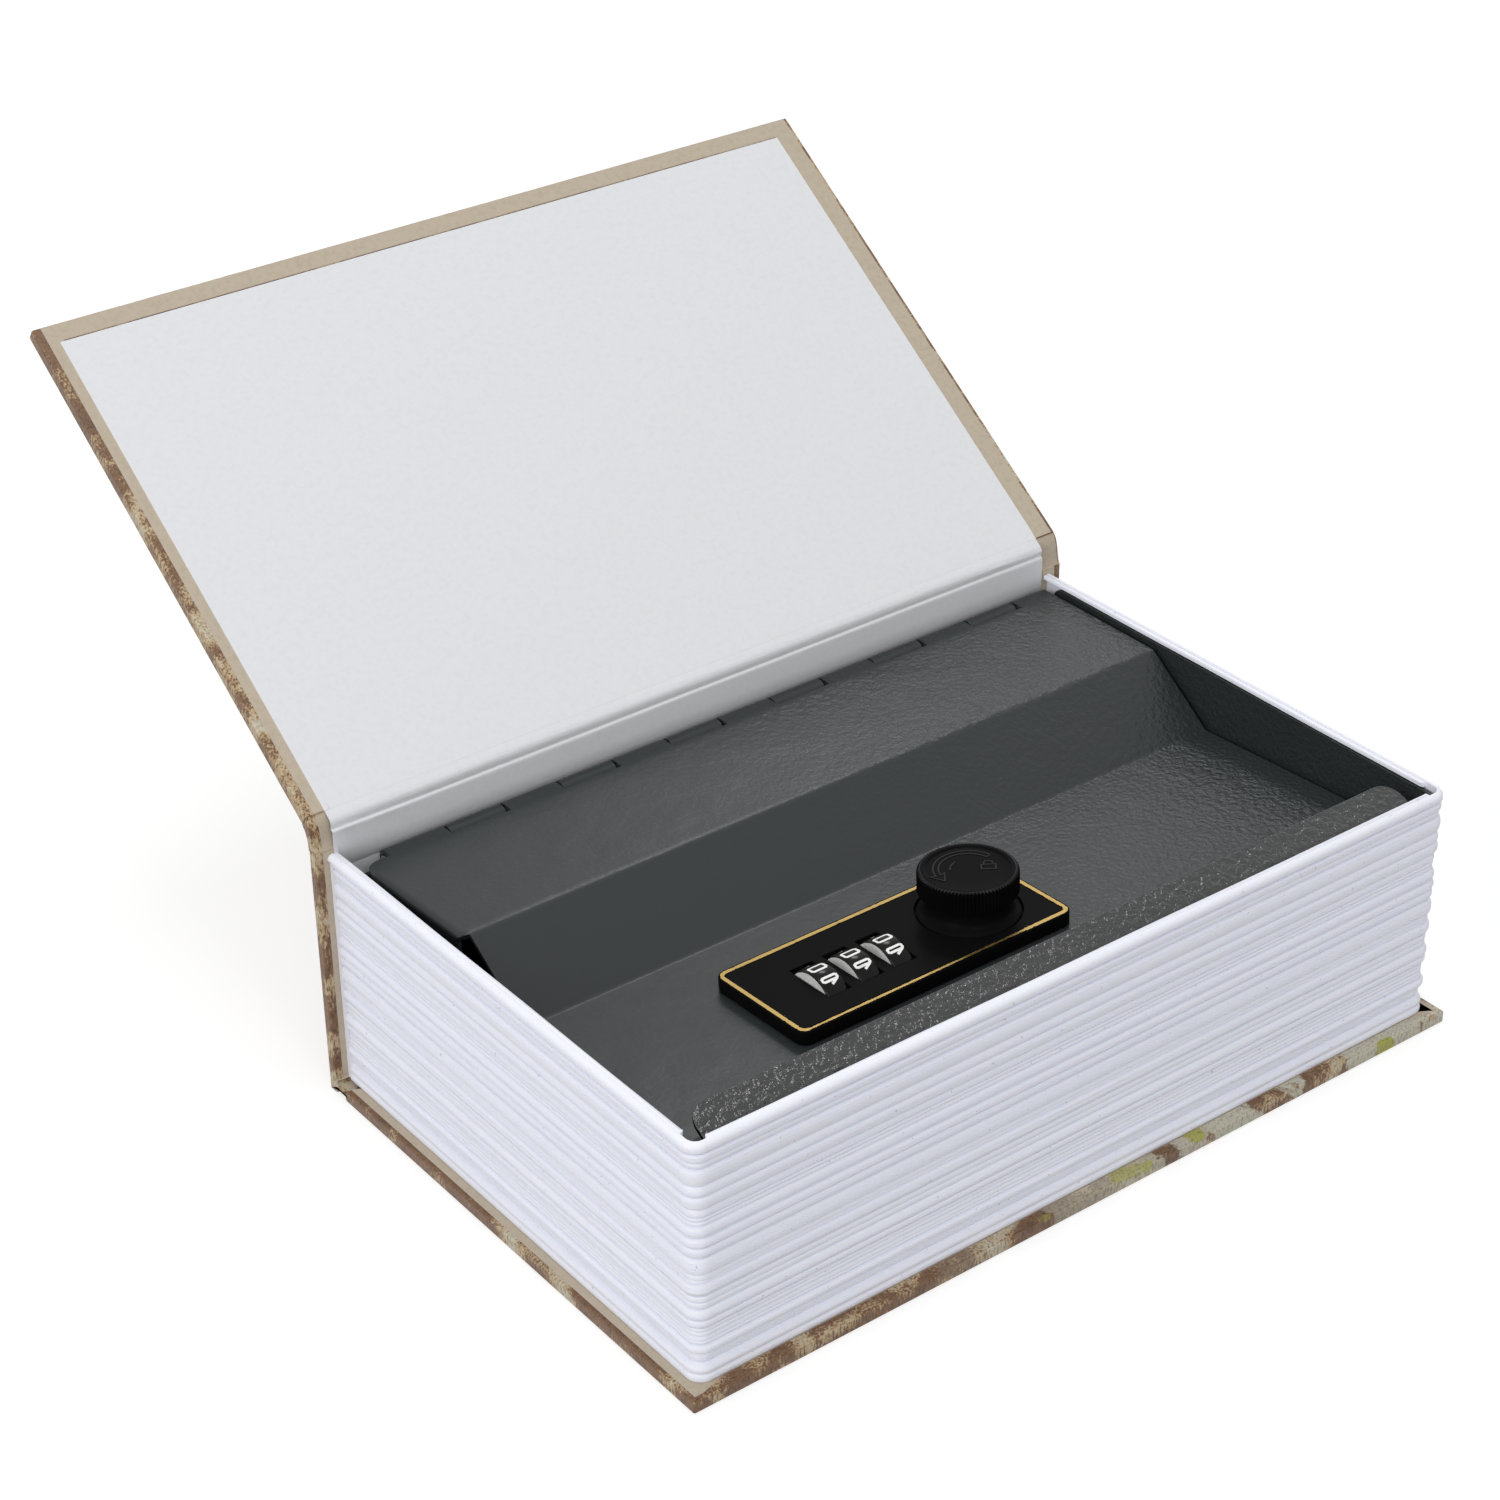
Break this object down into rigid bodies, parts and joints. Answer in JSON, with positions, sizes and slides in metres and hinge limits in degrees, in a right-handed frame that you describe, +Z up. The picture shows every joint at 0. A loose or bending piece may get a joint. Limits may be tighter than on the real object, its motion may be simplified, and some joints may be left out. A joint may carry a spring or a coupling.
{
  "type": "book diversion safe",
  "caption": "Hardback-book safe: hinged cover, ribbed page block around a steel box with a stepped hinged lid, number-wheel lock and knob latch.",
  "frame": {"origin": "centre of the back cover's underside", "axes": "+X along the spine, +Y towards the spine, +Z up from the back cover"},
  "size_m": [0.18, 0.2066, 0.124],
  "materials": {
    "greyboard": "matt",
    "printed_paper": "satin",
    "endpaper": "matt",
    "moulded_pages": "satin",
    "powder_coat": "fine texture",
    "plated_steel": "zinc plated",
    "foam_tape": "foam",
    "black_plastic": "satin",
    "gold_foil": "hot stamped",
    "brass": "machined"
  },
  "bodies": {
    "book": {"back_cover_board": "greyboard", "spine_board": "greyboard", "case_wrap": "printed_paper", "back_endpaper": "endpaper", "spine_lining": "endpaper", "outer_joint_paper": "printed_paper", "inner_joint_paper": "endpaper", "page_block": "moulded_pages", "steel_box": "powder_coat", "latch_keeper": "plated_steel", "hinge_pin": "plated_steel", "foam_tape_1": "foam_tape", "foam_tape_2": "foam_tape"},
    "front_cover": {"front_cover_board": "greyboard", "front_cover_wrap": "printed_paper", "front_endpaper": "endpaper"},
    "lid": {"lid": "powder_coat", "lock_case": "black_plastic", "gold_border": "gold_foil", "wheel_axle": "plated_steel", "detent_spring": "plated_steel", "fence_bar": "brass", "lock_back_plate": "black_plastic", "clamp_frame": "plated_steel", "clamp_screw_1": "plated_steel", "clamp_screw_2": "plated_steel", "back_plate_screw_1": "plated_steel", "back_plate_screw_2": "plated_steel"},
    "wheel_1": {"number_wheel_1": "black_plastic", "code_sleeve_1": "brass"},
    "wheel_2": {"number_wheel_2": "black_plastic", "code_sleeve_2": "brass"},
    "wheel_3": {"number_wheel_3": "black_plastic", "code_sleeve_3": "brass"},
    "knob": {"knob": "black_plastic", "knob_spindle": "plated_steel", "latch_cam": "plated_steel", "cam_screw": "plated_steel"},
    "reset_slide": {"reset_slide": "black_plastic"}
  },
  "joints": [
    {"name": "cover_hinge", "type": "hinge", "parent": "book", "child": "front_cover", "pos_m": [0, 0.0565, 0.0554], "axis": [-1, 0, 0], "range_deg": [-144.5, 55.5], "deforming": ["outer_joint_paper", "inner_joint_paper"]},
    {"name": "lid_hinge", "type": "hinge", "parent": "book", "child": "lid", "pos_m": [0, 0.0531, 0.048], "axis": [-1, 0, 0], "range_deg": [0, 90]},
    {"name": "wheel_1_spin", "type": "hinge", "parent": "lid", "child": "wheel_1", "pos_m": [-0.0337, -0.02037, 0.03876], "axis": [1, 0, 0], "continuous": true},
    {"name": "wheel_2_spin", "type": "hinge", "parent": "lid", "child": "wheel_2", "pos_m": [-0.02632, -0.02037, 0.03876], "axis": [1, 0, 0], "continuous": true},
    {"name": "wheel_3_spin", "type": "hinge", "parent": "lid", "child": "wheel_3", "pos_m": [-0.01894, -0.02037, 0.03876], "axis": [1, 0, 0], "continuous": true},
    {"name": "knob_turn", "type": "hinge", "parent": "lid", "child": "knob", "pos_m": [0.001, -0.0196, 0.04002], "axis": [0, 0.0576, 0.9983], "range_deg": [-90, 0]},
    {"name": "reset_travel", "type": "slide", "parent": "lid", "child": "reset_slide", "axis": [1, 0, 0], "range_m": [0, 0.0025]}
  ]
}
